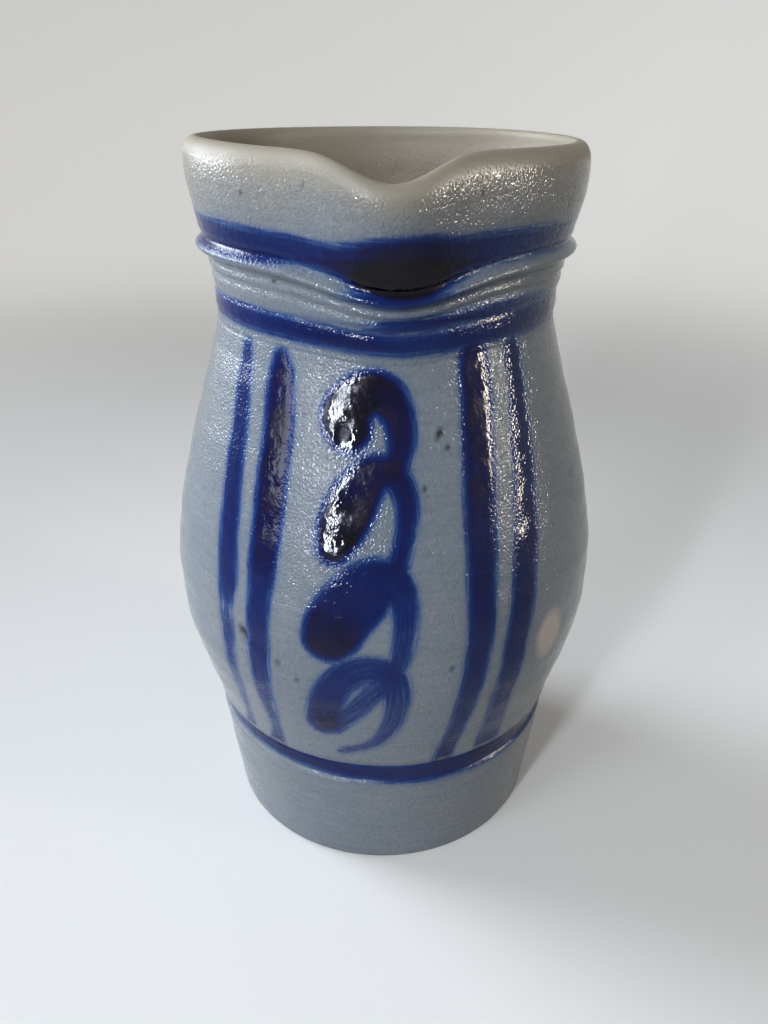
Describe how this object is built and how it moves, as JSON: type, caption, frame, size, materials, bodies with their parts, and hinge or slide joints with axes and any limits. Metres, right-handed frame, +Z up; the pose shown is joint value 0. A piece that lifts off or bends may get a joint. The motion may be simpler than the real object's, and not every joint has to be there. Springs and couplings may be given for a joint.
{
  "type": "jug",
  "caption": "Wheel-thrown salt-glazed stoneware jug: straight foot, swelling belly, flared collar with a pulled pouring lip, and a strap handle opposite it.",
  "frame": {"origin": "centre of the flat base, on the surface that the jug stands on", "axes": "+Z up along the axis that the body was thrown on; -Y towards the pouring lip and +Y towards the handle"},
  "size_m": [0.1248, 0.1511, 0.2],
  "materials": {
    "salt_glazed_stoneware": "grey stoneware under a glossy salt glaze with a fine orange-peel surface, painted with cobalt blue bands, stripes and curled strokes",
    "salt_glazed_handle": "the same grey salt-glazed stoneware, with the long grooves of the fingers that pulled it"
  },
  "bodies": {
    "root": {"jug_body": "salt_glazed_stoneware", "handle": "salt_glazed_handle"}
  },
  "joints": []
}
